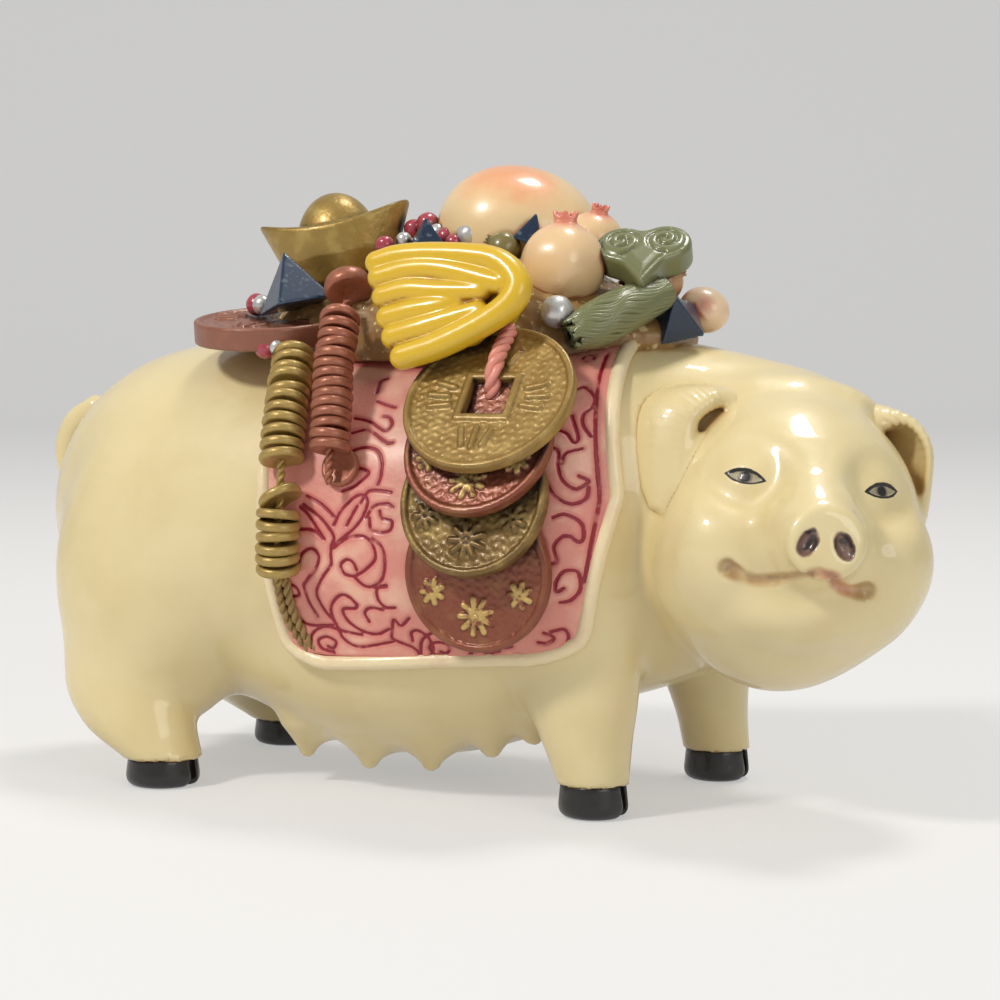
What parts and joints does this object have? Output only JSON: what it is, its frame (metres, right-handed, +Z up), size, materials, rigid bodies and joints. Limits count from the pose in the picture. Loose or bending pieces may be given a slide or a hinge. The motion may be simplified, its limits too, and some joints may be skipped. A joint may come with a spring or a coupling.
{
  "type": "pig figurine",
  "caption": "Standing pig ornament with a saddle cloth, hanging coins and a heap of fruit, gems and coin strings on its back.",
  "frame": {"origin": "middle of the whole figurine's box, on the surface that the four hooves stand on", "axes": "+X towards the head end, +Y towards the pig's left side, +Z up"},
  "size_m": [0.1534, 0.0705, 0.0991],
  "materials": {
    "ivory_glaze": "glossy ivory glaze over cast resin, amber in the recesses",
    "hoof_black": "satin black paint",
    "cloth_pink": "glossy pink glaze with dark pink incised scrolls",
    "hem_cream": "glossy cream glaze",
    "copper_paint": "antique copper paint, raised parts brightened",
    "brass_paint": "antique brass paint, raised parts brightened",
    "gold_paint": "brushed antique gold paint",
    "cord_brown": "olive brown paint",
    "cord_pink": "pink glaze, twisted",
    "citron_yellow": "glossy yellow glaze",
    "fruit_cream": "cream glaze with a peach blush",
    "olive_paint": "olive paint",
    "tan_paint": "tan paint",
    "sceptre_green": "satin moss green paint with dark grooves",
    "gem_blue": "dark blue metallic paint",
    "pearl_silver": "silver paint",
    "bead_red": "raspberry red glaze",
    "bed_tan": "matt tan paint"
  },
  "bodies": {
    "root": {"pig_body": "ivory_glaze", "ear_right": "ivory_glaze", "ear_left": "ivory_glaze", "tail": "ivory_glaze", "hoof_rear_right": "hoof_black", "hoof_front_right": "hoof_black", "hoof_rear_left": "hoof_black", "hoof_front_left": "hoof_black", "cloth_panel": "cloth_pink", "cloth_hem": "hem_cream", "copper_string_cord": "copper_paint", "brass_string_cord": "brass_paint", "copper_string_coins": "copper_paint", "brass_string_coins": "brass_paint", "copper_top_coin": "copper_paint", "copper_end_coin": "copper_paint", "brown_cord": "cord_brown", "hanging_coin_top": "brass_paint", "hanging_coin_second": "copper_paint", "hanging_coin_third": "brass_paint", "hanging_coin_lowest": "copper_paint", "tie_cord": "cord_pink", "citron": "citron_yellow", "flat_coin": "copper_paint", "ingot": "gold_paint", "pomegranate_near": "fruit_cream", "pomegranate_far": "fruit_cream", "pomegranate_olive": "olive_paint", "pomegranate_tan": "tan_paint", "peach_large": "fruit_cream", "peach_small": "fruit_cream", "sceptre_head": "sceptre_green", "sceptre_tassel": "sceptre_green", "gem_rear": "gem_blue", "gem_middle": "gem_blue", "gem_top": "gem_blue", "gem_front": "gem_blue", "pearls": "pearl_silver", "beads": "bead_red", "far_coins": "brass_paint", "heap_bed": "bed_tan"}
  },
  "joints": []
}
